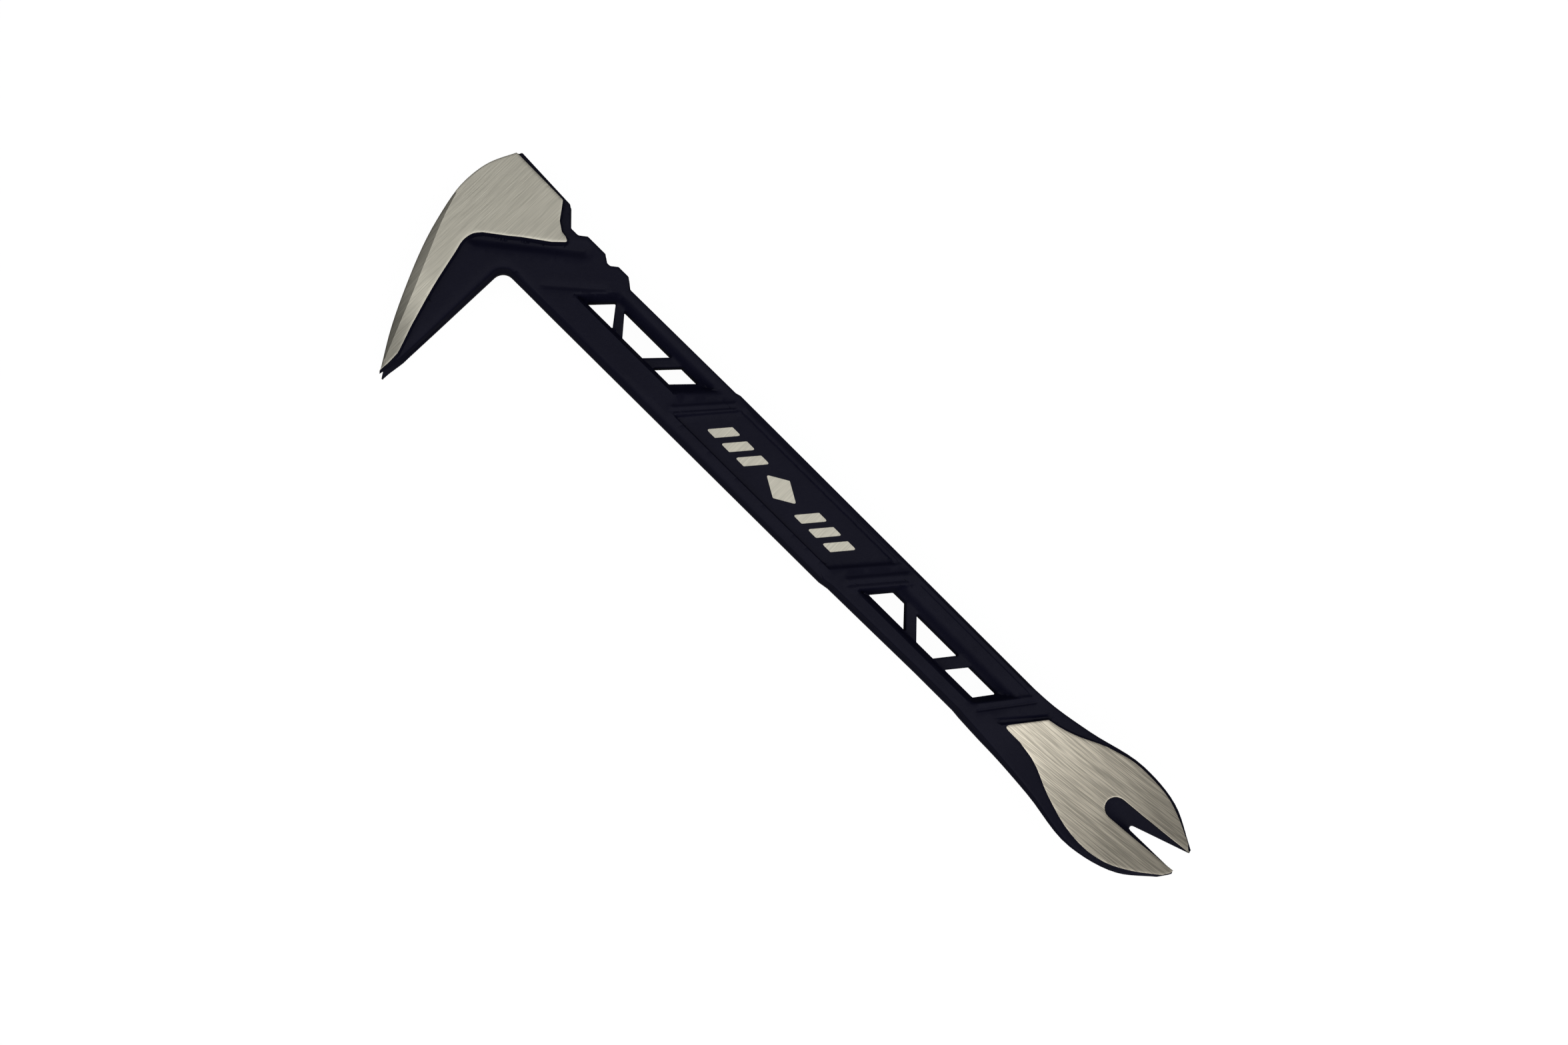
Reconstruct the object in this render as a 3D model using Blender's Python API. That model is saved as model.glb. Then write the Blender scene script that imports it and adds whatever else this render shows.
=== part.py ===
"""A forged cat's-paw nail puller, 12 in long, lying on its broad side.

One steel forging, held here as the named sections that a person would point at: the striking head with
its hooked claw, the neck, an I-beam shank with two windowed webs and a grip panel, and the flared tail
claw.  Every section is one closed solid, and neighbours keep a hair gap.

Frame: X runs along the shank from the head to the tail claw, the hooked claw points to -Y, and Z is the
forging's thickness.  The drawing below is in millimetres with X from the head's outermost point, Y from
the shank's lower edge and Z from the forging's parting plane.  `to_world` moves it so that the origin is
under the middle of the bounding box.
"""

import math

import bmesh
import bpy

# ---------------------------------------------------------------- driving dimensions (mm)
LENGTH = 304.8          # 12 in overall
SHANK_HEIGHT = 22.4     # lower edge to upper edge
NECK_HEIGHT = 22.5      # the same beside the head and where the tail claw starts
SHANK_HALF = 6.5        # half the shank's thickness at its rails
HEAD_HALF = 8.5         # half the head's thickness over its ground faces
CORE_HALF = 6.0         # half the head's thickness under its ground faces
PANEL_HALF = 5.4        # half the thickness at the sunken grip panel
WEB_HALF = 2.5          # half the thickness of the windowed webs
GAP = 0.3               # between neighbouring sections

STRIKE_TOP = 28.6       # highest point of the striking face
CLAW_TIP = -51.7        # lowest point of the hooked claw
CLAW_INNER = 26.6       # X of the hooked claw's inner face
CLAW_SLOT_START = -26.0  # Y where the hooked claw splits into two tines
CLAW_SLOT_HALF = (1.2, 5.2)  # half the nail slot's width at its start and at the tips

TAIL_START = 238.0      # X where the tail claw starts to curl up
TAIL_CURL_RADIUS = 140.0
TAIL_FRONT = 6.0        # height of the tail claw's front face where the curl starts
TIP_THICKNESS = 1.8
LAND_THICKNESS = 1.5    # depth of the tail ground face's own section, where the tail is thick
LAND_MOST = 0.35        # and the largest share of the tail's thickness that it takes near the tips

SLOT_AXIS = 12.4        # Y of the tail's nail slot
SLOT_HALF = 3.6         # half the slot's width at its round end, on the countersunk front
SLOT_CENTRE = 280.6     # X of the centre of the slot's round end
SLOT_MOUTH = (9.5, 16.9)  # Y of the slot's two sides at the tips
V_APEX = 288.3          # X of the V's apex on the back
V_APEX_HALF = 0.8
V_AXIS = 11.4           # the V's apex sits a little below the slot's axis
LAND_SHARE = 0.3        # the slot's countersink is parted at this share of the thickness from the front
CUTTER_REACH = 4.0      # a cutter runs this far past the tips
TIP_SETBACK = 0.5       # the tines part this far before the tips, inside the slot

LEAN = math.radians(50)  # lean of the diagonal ribs from X
WINDOW_RADIUS = 0.35

BLACK = ("black_coat", (0.012, 0.012, 0.018, 1), 0.45, 0.2)
GROUND = ("ground_steel", (0.42, 0.40, 0.35, 1), 0.35, 1.0)

MM = 0.001
Z_LIFT = HEAD_HALF
Y_MIDDLE = (STRIKE_TOP + CLAW_TIP) / 2


# ---------------------------------------------------------------- drawing helpers
def to_world(x, y, z):
    return ((x - LENGTH / 2) * MM, (y - Y_MIDDLE) * MM, (z + Z_LIFT) * MM)


def smooth(points, steps):
    """Points on a curve through the given points: cubic pieces whose tangents follow the neighbours."""
    spans = [math.dist(a, b) for a, b in zip(points, points[1:])]
    slopes = [[(b[k] - a[k]) / s for k in (0, 1)] for a, b, s in zip(points, points[1:], spans)]
    tangents = [slopes[0]]
    for i in range(1, len(points) - 1):
        share = spans[i - 1] / (spans[i - 1] + spans[i])
        tangents.append([slopes[i - 1][k] * (1 - share) + slopes[i][k] * share for k in (0, 1)])
    tangents.append(slopes[-1])
    line = [tuple(points[0])]
    for i, span in enumerate(spans):
        for step in range(1, steps + 1):
            t = step / steps
            start, pull_in = 2 * t**3 - 3 * t**2 + 1, t**3 - 2 * t**2 + t
            end, pull_out = -2 * t**3 + 3 * t**2, t**3 - t**2
            line.append(tuple(
                start * points[i][k] + pull_in * span * tangents[i][k]
                + end * points[i + 1][k] + pull_out * span * tangents[i + 1][k]
                for k in (0, 1)
            ))
    return line


def rounded(points, radius, steps=3):
    """The closed polygon with each corner turned into an arc."""
    line = []
    for i, corner in enumerate(points):
        before, after = points[i - 1], points[(i + 1) % len(points)]
        a, b = math.dist(corner, before), math.dist(corner, after)
        u = [(before[k] - corner[k]) / a for k in (0, 1)]
        v = [(after[k] - corner[k]) / b for k in (0, 1)]
        half = math.acos(max(-1, min(1, u[0] * v[0] + u[1] * v[1]))) / 2
        reach = radius / math.tan(half)
        middle = [corner[k] + (u[k] + v[k]) * radius / math.sin(2 * half) for k in (0, 1)]
        first = math.atan2(corner[1] + u[1] * reach - middle[1], corner[0] + u[0] * reach - middle[0])
        last = math.atan2(corner[1] + v[1] * reach - middle[1], corner[0] + v[0] * reach - middle[0])
        turn = (last - first + math.pi) % (2 * math.pi) - math.pi
        for step in range(steps + 1):
            angle = first + turn * step / steps
            line.append((middle[0] + radius * math.cos(angle), middle[1] + radius * math.sin(angle)))
    return line


def cut_line(line, low=-math.inf, high=math.inf, axis=1):
    """The stretch of an open line between two values of one coordinate, with its ends put on them."""
    kept = []
    for a, b in zip(line, line[1:]):
        for limit in sorted((low, high), reverse=a[axis] > b[axis]):
            if (a[axis] - limit) * (b[axis] - limit) < 0:
                t = (limit - a[axis]) / (b[axis] - a[axis])
                kept.append(tuple(a[k] + t * (b[k] - a[k]) for k in (0, 1)))
        if low <= b[axis] <= high:
            kept.append(b)
    if low <= line[0][axis] <= high:
        kept.insert(0, line[0])
    return kept


def lean_x(x, y, base):
    """X on a line that leans with the ribs and passes X at height base."""
    return x + (y - base) / math.tan(LEAN)


# ---------------------------------------------------------------- scene helpers
for old in list(bpy.data.objects):
    bpy.data.objects.remove(old)


def collection(name):
    made = bpy.data.collections.new(name)
    bpy.context.scene.collection.children.link(made)
    return made


PARTS = collection("nail_puller")
CUTTERS = collection("cutters")


def material(name, colour, roughness, metallic):
    made = bpy.data.materials.new(name)
    made.use_nodes = True
    shader = made.node_tree.nodes["Principled BSDF"]
    shader.inputs["Base Color"].default_value = colour
    shader.inputs["Roughness"].default_value = roughness
    shader.inputs["Metallic"].default_value = metallic
    made.diffuse_color = colour
    return made


def finish(node, look):
    slot, colour, roughness, metallic = look
    node.data.materials.append(material(f"{node.name}_{slot}", colour, roughness, metallic))
    node.data.shade_smooth()
    node.data.set_sharp_from_angle(angle=math.radians(25))


def plate(name, outline, low, high, where=PARTS):
    """A flat plate: the outline as a filled 2D curve with its thickness, made a mesh with welded caps."""
    curve = bpy.data.curves.new(name, "CURVE")
    curve.dimensions = "2D"
    curve.fill_mode = "BOTH"
    curve.extrude = (high - low) / 2 * MM
    spline = curve.splines.new("POLY")
    spline.points.add(len(outline) - 1)
    for point, (x, y) in zip(spline.points, outline):
        wx, wy, _ = to_world(x, y, 0)
        point.co = (wx, wy, 0, 1)
    spline.use_cyclic_u = True
    flat = bpy.data.objects.new(name + "_outline", curve)
    flat.location.z = to_world(0, 0, (low + high) / 2)[2]
    bpy.context.scene.collection.objects.link(flat)
    bpy.context.view_layer.update()
    graph = bpy.context.evaluated_depsgraph_get()
    mesh = bpy.data.meshes.new_from_object(flat.evaluated_get(graph), depsgraph=graph)
    mesh.transform(flat.matrix_world)
    bpy.data.objects.remove(flat)
    body = bmesh.new()
    body.from_mesh(mesh)
    bmesh.ops.remove_doubles(body, verts=body.verts, dist=1e-6)
    bmesh.ops.recalc_face_normals(body, faces=body.faces)
    body.to_mesh(mesh)
    body.free()
    mesh.name = name
    node = bpy.data.objects.new(name, mesh)
    where.objects.link(node)
    return node


def loft(name, low_outline, low, high_outline, high):
    """A cutter whose outline changes from one height to another."""
    body = bmesh.new()
    rings = [
        [body.verts.new(to_world(x, y, z)) for x, y in outline]
        for outline, z in ((low_outline, low), (high_outline, high))
    ]
    body.faces.new(rings[0])
    body.faces.new(rings[1])
    for i in range(len(low_outline)):
        body.faces.new((rings[0][i - 1], rings[0][i], rings[1][i], rings[1][i - 1]))
    bmesh.ops.recalc_face_normals(body, faces=body.faces)
    mesh = bpy.data.meshes.new(name)
    body.to_mesh(mesh)
    body.free()
    node = bpy.data.objects.new(name, mesh)
    CUTTERS.objects.link(node)
    return node


def cut(node, cutter):
    cutter.hide_render = True
    cutter.display_type = "WIRE"
    change = node.modifiers.new("cut_" + cutter.name, "BOOLEAN")
    change.operation = "DIFFERENCE"
    change.object = cutter


def bake_modifiers(node):
    """The node's mesh with its cuts made, so that it can be curled afterwards."""
    bpy.context.view_layer.update()
    graph = bpy.context.evaluated_depsgraph_get()
    mesh = bpy.data.meshes.new_from_object(node.evaluated_get(graph), depsgraph=graph)
    node.modifiers.clear()
    node.data = mesh


# ---------------------------------------------------------------- outlines of the head
HEAD_BACK = smooth(
    [(5.6, STRIKE_TOP), (0.8, 17.6), (0.0, 9.5), (2.7, -5.6), (10.9, -27.2), (17.2, -39.8),
     (24.7, CLAW_TIP)], 5
)
STRIKE_END = (28.1, 27.7)
STRIKE_DEPTH = 3.0
CORNER_RADIUS = 3.6
NECK_START = 36.5

INNER_CORNER = [
    (CLAW_INNER + CORNER_RADIUS * (1 - math.sin(a)), -CORNER_RADIUS * (1 - math.cos(a)))
    for a in (math.radians(step * 15) for step in range(7))
]

strike_bottom = STRIKE_TOP - STRIKE_DEPTH
HEAD_CORE = (
    cut_line(HEAD_BACK, CLAW_SLOT_START + GAP, strike_bottom - GAP)
    + [(CLAW_INNER, CLAW_SLOT_START + GAP)]
    + list(reversed(INNER_CORNER))
    + [(NECK_START - GAP, 0), (NECK_START - GAP, NECK_HEIGHT), (33.6, NECK_HEIGHT), (32.6, 23.1)]
    + [(30.3, strike_bottom - GAP)]
)
STRIKE_FACE = cut_line(HEAD_BACK, strike_bottom, STRIKE_TOP) + [(30.0, strike_bottom), STRIKE_END]
TINE = cut_line(HEAD_BACK, CLAW_TIP, CLAW_SLOT_START) + [(CLAW_INNER, CLAW_SLOT_START), (26.1, -43.5)]
HEAD_LAND = (
    cut_line(HEAD_BACK, CLAW_TIP, strike_bottom - GAP)
    + [(24.6, -43.5)]
    + smooth([(21.3, -34.5), (17.4, -21.5), (14.3, -8.6), (13.3, -4.2), (13.9, -0.7), (15.7, 1.7)], 2)
    + [(21.9, 6.5), (25.1, 9.2), (32.7, 14.8), (36.0, 18.3), (34.6, 19.1), (32.6, 19.4)]
    + [(29.7, 21.4), (26.4, strike_bottom - GAP)]
)


def head():
    core = plate("head_core", HEAD_CORE, -CORE_HALF, CORE_HALF)
    strike = plate("strike_face", STRIKE_FACE, -HEAD_HALF, HEAD_HALF)
    finish(core, BLACK)
    finish(strike, BLACK)
    for side, name in ((1, "front"), (-1, "back")):
        low, high = sorted((side * (CORE_HALF + GAP), side * HEAD_HALF))
        finish(plate(f"head_ground_face_{name}", HEAD_LAND, low, high), GROUND)


def claw_tines():
    """The two tines of the hooked claw, on either side of a nail slot that widens towards the tips."""
    near, wide = CLAW_SLOT_HALF
    for side, name in ((1, "front"), (-1, "back")):
        low, high = sorted((0, side * CORE_HALF))
        tine = plate(f"claw_tine_{name}", TINE, low, high)
        for vertex in tine.data.vertices:
            z = vertex.co.z / MM - Z_LIFT
            if abs(z) < CORE_HALF / 2:
                y = vertex.co.y / MM + Y_MIDDLE
                along = (CLAW_SLOT_START - y) / (CLAW_SLOT_START - CLAW_TIP)
                vertex.co.z = (side * (near + (wide - near) * along) + Z_LIFT) * MM
        finish(tine, BLACK)


# ---------------------------------------------------------------- outlines of the shank
BAY_LOW, BAY_HIGH = 5.9, 17.4        # where the windowed webs meet the rails
PANEL_LOW, PANEL_HIGH = 3.5, 19.5    # where the grip panel meets the rails
NECK_END = 47.0                      # X where the neck gives way to the lower rail
NOTCH_END = 60.0                     # X where the neck's notched top gives way to the upper rail
HEAD_BAY = (47.6, 91.2)              # X of the leaning ends at BAY_LOW
TAIL_BAY = (176.6, 228.8)
LOWER_RAIL_END = TAIL_BAY[1]
UPPER_RAIL_END = lean_x(TAIL_BAY[1], BAY_HIGH, BAY_LOW)
PANEL = (97.4, 163.3)                # X of the leaning ends at PANEL_LOW
PANEL_JOG = 2.0                      # the rails' inner edges slant over this far beside the panel
UPPER_STEP = (106.3, 107.9, 0.5)     # from, to, rise
LOWER_STEP = (168.0, 171.0, 0.8)
UPPER_DIP = 0.3                      # the upper rail starts this much lower, at the neck
LOWER_RISE = 0.3                     # the lower rail ends this far above its start
HEAD_WINDOWS = (
    [(52.9, 9.9), (64.6, 9.9), (59.3, 16.8)],
    [(68.9, 9.9), (77.7, 9.9), (84.1, 16.7), (63.1, 16.7)],
    [(82.2, 9.9), (89.4, 9.9), (95.9, 16.7), (88.5, 16.7)],
)
TAIL_WINDOWS = (
    [(179.9, 7.1), (196.3, 7.1), (190.3, 13.6), (185.4, 13.6)],
    [(201.2, 7.1), (208.5, 7.1), (213.7, 13.5), (195.1, 13.5)],
    [(213.5, 7.1), (225.9, 7.1), (230.8, 13.5), (218.8, 13.5)],
)


def leaning(left, right, base, low, high):
    return [
        (lean_x(left, low, base), low),
        (lean_x(right, low, base), low),
        (lean_x(right, high, base), high),
        (lean_x(left, high, base), high),
    ]


def neck():
    outline = [
        (NECK_START, 0), (NECK_END, 0), (NECK_END, BAY_LOW), (lean_x(NECK_END, BAY_HIGH, BAY_LOW), BAY_HIGH),
        (NOTCH_END, BAY_HIGH), (NOTCH_END, 22.1), (57.0, 24.4), (52.4, 24.4), (50.3, 22.7), (49.1, 22.7),
        (46.8, 24.4), (38.9, 24.4), (NECK_START, NECK_HEIGHT),
    ]
    finish(plate("neck", outline, -SHANK_HALF, SHANK_HALF), BLACK)


def rails():
    start, end, rise = LOWER_STEP
    panel_left, panel_right = PANEL[0], PANEL[1]
    lower = [
        (NECK_END + GAP, 0), (start, 0), (end, rise), (LOWER_RAIL_END, LOWER_RISE),
        (LOWER_RAIL_END, BAY_LOW - GAP), (lean_x(panel_right, BAY_LOW, PANEL_LOW), BAY_LOW - GAP),
        (panel_right, PANEL_LOW - GAP), (panel_left, PANEL_LOW - GAP),
        (panel_left - PANEL_JOG, BAY_LOW - GAP), (NECK_END + GAP, BAY_LOW - GAP),
    ]
    start, end, rise = UPPER_STEP
    left = lean_x(panel_left, PANEL_HIGH, PANEL_LOW)
    right = lean_x(panel_right, PANEL_HIGH, PANEL_LOW)
    upper = [
        (NOTCH_END + GAP, BAY_HIGH + GAP), (left - PANEL_JOG, BAY_HIGH + GAP), (left, PANEL_HIGH + GAP),
        (right, PANEL_HIGH + GAP), (right + PANEL_JOG, BAY_HIGH + GAP), (UPPER_RAIL_END, BAY_HIGH + GAP),
        (UPPER_RAIL_END, SHANK_HEIGHT), (end, SHANK_HEIGHT + rise), (start, SHANK_HEIGHT),
        (NOTCH_END + GAP, SHANK_HEIGHT - UPPER_DIP),
    ]
    finish(plate("lower_rail", lower, -SHANK_HALF, SHANK_HALF), BLACK)
    finish(plate("upper_rail", upper, -SHANK_HALF, SHANK_HALF), BLACK)


def web_bay(name, ends, windows):
    web = plate(name, leaning(*ends, BAY_LOW, BAY_LOW, BAY_HIGH), -WEB_HALF, WEB_HALF)
    for number, window in enumerate(windows, 1):
        outline = rounded(window, WINDOW_RADIUS)
        cut(web, plate(f"{name}_window_{number}", outline, -2 * WEB_HALF, 2 * WEB_HALF, CUTTERS))
    finish(web, BLACK)


def grip_panel():
    outline = leaning(*PANEL, PANEL_LOW, PANEL_LOW, PANEL_HIGH)
    finish(plate("grip_panel", outline, -PANEL_HALF, PANEL_HALF), BLACK)


def diagonal(name, left_end, left_base, right_end, right_base):
    """The leaning rib between two bays, from rail to rail at the lower of their heights."""
    low, high = BAY_LOW, BAY_HIGH
    outline = [
        (lean_x(left_end, low, left_base) + GAP, low), (lean_x(right_end, low, right_base) - GAP, low),
        (lean_x(right_end, high, right_base) - GAP, high), (lean_x(left_end, high, left_base) + GAP, high),
    ]
    finish(plate(name, outline, -SHANK_HALF, SHANK_HALF), BLACK)


# ---------------------------------------------------------------- the tail claw
TAIL_LOWER = smooth(
    [(LOWER_RAIL_END + GAP, 0), (245.7, -0.9), (259.3, -2.5), (279.0, -5.8), (293.6, -2.2), (302.4, 4.9)], 4
)
TAIL_UPPER = smooth(
    [(UPPER_RAIL_END + GAP, NECK_HEIGHT), (246.0, 23.1), (259.3, 25.0), (278.5, 28.3), (292.2, 25.9),
     (304.3, 18.0)], 4
)
NECK_BLADE_SPLIT = 250.0
BLADE_TINE_SPLIT = 276.0
LOWER_TIP = [(304.2, 7.5), (LENGTH, 8.6), (LENGTH, SLOT_MOUTH[0])]
UPPER_TIP = (304.4, SLOT_MOUTH[1])
UNIT = (-Z_LIFT, 1 - Z_LIFT)  # a plate one unit thick at the world's floor, before it is curled
TAIL_LAND = (
    [(238.5, 7.0), (247.4, 18.3)]
    + smooth([(251.2, 19.0), (257.3, 20.9), (266.3, 24.9), (274.8, 27.0), (281.6, 27.0), (289.9, 25.6),
              (296.0, 22.8), (302.0, 19.1)], 2)
    + [(303.6, 17.4), (304.2, SLOT_MOUTH[1]), (304.4, SLOT_MOUTH[0]), (304.2, 8.4)]
    + list(reversed(smooth([(246.9, 6.7), (251.9, 5.8), (263.0, 0.9), (276.1, -3.1), (283.0, -3.5),
                            (289.0, -2.4), (296.0, 1.1), (302.9, 6.2)], 2)))
)


def tail_front(x):
    return TAIL_FRONT + max(0, x - TAIL_START) ** 2 / (2 * TAIL_CURL_RADIUS)


def tail_thickness(x):
    share = min(1, max(0, (x - TAIL_START) / (LENGTH - TAIL_START)))
    full = TAIL_FRONT + SHANK_HALF
    return full - (full - TIP_THICKNESS) * share**0.8


def tail_back(x):
    return tail_front(x) - tail_thickness(x)


def land_floor(x):
    return tail_front(x) - min(LAND_THICKNESS, LAND_MOST * tail_thickness(x))


def body_top(x):
    return land_floor(x) - GAP


def curl(node, low, high, spacing=5.0):
    """Gives a flat plate the tail's curl: its lower face goes to low(x) and its upper face to high(x)."""
    body = bmesh.new()
    body.from_mesh(node.data)
    x = TAIL_START
    while x < LENGTH:
        bmesh.ops.bisect_plane(
            body, geom=body.verts[:] + body.edges[:] + body.faces[:], dist=1e-7,
            plane_co=to_world(x, 0, 0), plane_no=(1, 0, 0),
        )
        x += spacing
    for vertex in body.verts:
        x = vertex.co.x / MM + LENGTH / 2
        share = vertex.co.z / MM  # 0 on the flat plate's lower face, 1 on its upper face
        vertex.co.z = (low(x) + (high(x) - low(x)) * share + Z_LIFT) * MM
    bmesh.ops.triangulate(body, faces=body.faces)
    body.to_mesh(node.data)
    body.free()


def slot_cutter(name, low_share, high_share):
    """The nail slot, for a plate one unit thick that stands for this stretch of the tail's thickness.

    At share 0, the back, it is a V.  At share 1, the front, it is a slot with a round end."""
    turns = [math.radians(90 + 180 * step / 8) for step in range(9)]
    front = [(SLOT_CENTRE + SLOT_HALF * math.cos(a), SLOT_AXIS + SLOT_HALF * math.sin(a)) for a in turns]
    back = [(V_APEX + V_APEX_HALF * math.cos(a), V_AXIS + V_APEX_HALF * math.sin(a)) for a in turns]
    low, high = SLOT_MOUTH
    mouth = [(LENGTH, low), (LENGTH + CUTTER_REACH, low), (LENGTH + CUTTER_REACH, high), (LENGTH, high)]
    front += mouth
    back += mouth

    def outline(share):
        return [tuple(b + (f - b) * share for b, f in zip(p, q)) for p, q in zip(back, front)]

    grow = 0.2
    reach = grow * (high_share - low_share)
    return loft(name, outline(low_share - reach), UNIT[0] - grow, outline(high_share + reach), UNIT[1] + grow)


def tail():
    neck_outline = (
        cut_line(TAIL_LOWER, high=NECK_BLADE_SPLIT, axis=0)
        + list(reversed(cut_line(TAIL_UPPER, high=NECK_BLADE_SPLIT, axis=0)))
        + [(UPPER_RAIL_END + GAP, BAY_HIGH), (LOWER_RAIL_END + GAP, BAY_LOW)]
    )
    blade_outline = (
        cut_line(TAIL_LOWER, NECK_BLADE_SPLIT + GAP, BLADE_TINE_SPLIT, axis=0)
        + list(reversed(cut_line(TAIL_UPPER, NECK_BLADE_SPLIT + GAP, BLADE_TINE_SPLIT, axis=0)))
    )
    start = BLADE_TINE_SPLIT + GAP
    lower_outline = (
        cut_line(TAIL_LOWER, low=start, axis=0) + LOWER_TIP
        + [(LENGTH - TIP_SETBACK, SLOT_AXIS - GAP / 2), (start, SLOT_AXIS - GAP / 2)]
    )
    upper_outline = (
        [(start, SLOT_AXIS + GAP / 2), (LENGTH - TIP_SETBACK, SLOT_AXIS + GAP / 2), UPPER_TIP]
        + list(reversed(cut_line(TAIL_UPPER, low=start, axis=0)))
    )
    for name, outline in (
        ("tail_neck", neck_outline), ("tail_blade", blade_outline),
        ("tail_tine_lower", lower_outline), ("tail_tine_upper", upper_outline),
    ):
        node = plate(name, outline, *UNIT)
        if "tine" in name:
            cut(node, slot_cutter(name + "_slot", 0, 1 - LAND_SHARE))
            bake_modifiers(node)
        curl(node, tail_back, body_top)
        finish(node, BLACK)
    land = plate("tail_ground_face", TAIL_LAND, *UNIT)
    cut(land, slot_cutter("tail_ground_face_slot", 1 - LAND_SHARE, 1))
    bake_modifiers(land)
    curl(land, land_floor, tail_front)
    finish(land, GROUND)


head()
claw_tines()
neck()
rails()
web_bay("web_bay_head", HEAD_BAY, HEAD_WINDOWS)
diagonal("diagonal_rib_head", HEAD_BAY[1], BAY_LOW, PANEL[0], PANEL_LOW)
grip_panel()
diagonal("diagonal_rib_tail", PANEL[1], PANEL_LOW, TAIL_BAY[0], BAY_LOW)
web_bay("web_bay_tail", TAIL_BAY, TAIL_WINDOWS)
tail()
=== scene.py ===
"""Looks for the forged nail puller: fine relief on every section, powder coat, ground steel and studio.

The drawing below is in millimetres in the forging's own frame: X from the head's outermost point, Y from
the shank's lower edge and Z from the parting plane.  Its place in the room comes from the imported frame.

The whole tool is one triangulated sheet in X and Y.  Its front and back heights are formulas of the
distance to outlines, grooves, beads and pockets.  The sheet is then shared out over the named sections,
and each section becomes one closed solid.  The ground faces are thin inlays that sit in shallow recesses.
"""

import math

import bpy
import numpy as np
from mathutils import Matrix, Vector
from mathutils.geometry import delaunay_2d_cdt


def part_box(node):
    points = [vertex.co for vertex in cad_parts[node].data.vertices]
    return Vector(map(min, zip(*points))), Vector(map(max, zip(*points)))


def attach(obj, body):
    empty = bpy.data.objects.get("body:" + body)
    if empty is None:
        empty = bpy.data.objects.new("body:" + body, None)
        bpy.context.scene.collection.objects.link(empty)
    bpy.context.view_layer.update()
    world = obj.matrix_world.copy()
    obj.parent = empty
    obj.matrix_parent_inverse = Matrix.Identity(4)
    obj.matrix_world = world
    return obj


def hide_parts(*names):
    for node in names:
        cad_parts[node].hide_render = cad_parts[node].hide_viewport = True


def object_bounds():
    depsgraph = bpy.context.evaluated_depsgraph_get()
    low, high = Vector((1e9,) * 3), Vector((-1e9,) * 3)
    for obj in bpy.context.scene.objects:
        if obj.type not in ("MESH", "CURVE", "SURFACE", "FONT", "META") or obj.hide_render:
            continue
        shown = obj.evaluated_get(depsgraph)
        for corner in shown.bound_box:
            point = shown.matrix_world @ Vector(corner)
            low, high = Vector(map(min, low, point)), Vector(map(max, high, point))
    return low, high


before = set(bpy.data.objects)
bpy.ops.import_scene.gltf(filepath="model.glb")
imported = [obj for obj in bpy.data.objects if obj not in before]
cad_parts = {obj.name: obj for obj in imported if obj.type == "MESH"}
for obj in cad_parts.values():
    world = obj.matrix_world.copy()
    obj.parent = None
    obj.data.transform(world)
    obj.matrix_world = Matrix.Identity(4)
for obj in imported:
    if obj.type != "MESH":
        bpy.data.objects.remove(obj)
CAD_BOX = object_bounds()
MM = 0.001
ON_LINE = 2e-3          # a point this close to a line lies on it (mm)


def half_thickness(node):
    low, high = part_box(node)
    return (high.z - low.z) / 2 / MM


# ---------------------------------------------------------------- driving dimensions (mm)
LENGTH = (CAD_BOX[1].x - CAD_BOX[0].x) / MM
HEAD_HALF = half_thickness("strike_face")
SHANK_HALF = half_thickness("neck")
WEB_HALF = half_thickness("web_bay_head")
PANEL_HALF = half_thickness("grip_panel")
ORIGIN = np.array([CAD_BOX[0].x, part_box("neck")[0].y, CAD_BOX[0].z + HEAD_HALF * MM])

LAND_DEPTH = 0.8        # a ground face's inlay sits in a recess this deep
LAND_GAP = 0.02         # the inlay clears the floor of its recess by this much
LAND_TAPER = 0.12       # the inlay's underside is this much smaller all round
LAND_LIP = 0.05         # the coat stops this far below a ground face
LAND_RIM = 0.2          # width of the worn rim around a ground face
LAND_WALL = 0.6         # width of the steep step from a ground face down to the coat
DRAFT = 0.35            # the shank's edges stand back this far from the parting line
DRAFT_REACH = 3.0
EDGE_RADIUS = 0.9
WINDOW_EDGE = 0.5
CLAW_THINNING = 0.5     # the hooked claw's coated face sinks this much towards its tips
CLAW_LEAN = 0.13        # near its tips the head's ground face leans outwards this steeply
CLAW_BEVEL = 0.22       # slope of the band along the hooked claw's inner edge
BEVEL_SLOPE = 0.38      # the ground bevel along the head's outer edge
MID_SHANK = 120.0       # parts the head's ground faces from the tail's
LEAST_RADIUS = 0.3      # no edge is rounded less than this
WINDOW_FLASH = 0.5      # share of the outline's flash that stands in a window

TAIL_START = 238.0
TAIL_CURL_RADIUS = 140.0
TAIL_FRONT = 6.0
TAIL_BACK_FALL = 10.7   # the tail claw loses this much thickness towards its tips
TAIL_FALL_POWER = 0.8
TAIL_SHOULDER = 0.6     # the coated shoulder lies this far below the tail's ground face

SLOT_AXIS = 12.4
SLOT_HALF = 3.6
SLOT_CENTRE = 280.6
V_APEX = 288.3
V_APEX_HALF = 0.8
V_AXIS = 11.4

CLAW_SPLIT = -24.8      # Y where the hooked claw parts into two tines
CLAW_APEX_RADIUS = 1.2
CLAW_SLOT_WIDE = 4.6    # half the nail slot's width at the claw's tips
CLAW_SLOT_OUTER, CLAW_SLOT_GAIN = 0.7, 0.3  # the slot's share of that on the outer side, and the rest
CLAW_TIP = -51.7

LEAN = math.tan(math.radians(50))
LEAN_BASE, PANEL_BASE = 5.9, 3.5    # heights at which the X of a leaning line is given
PANEL_LOW, PANEL_HIGH = 3.35, 19.65
BAY_LOW, BAY_HIGH = 5.75, 17.55


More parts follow.
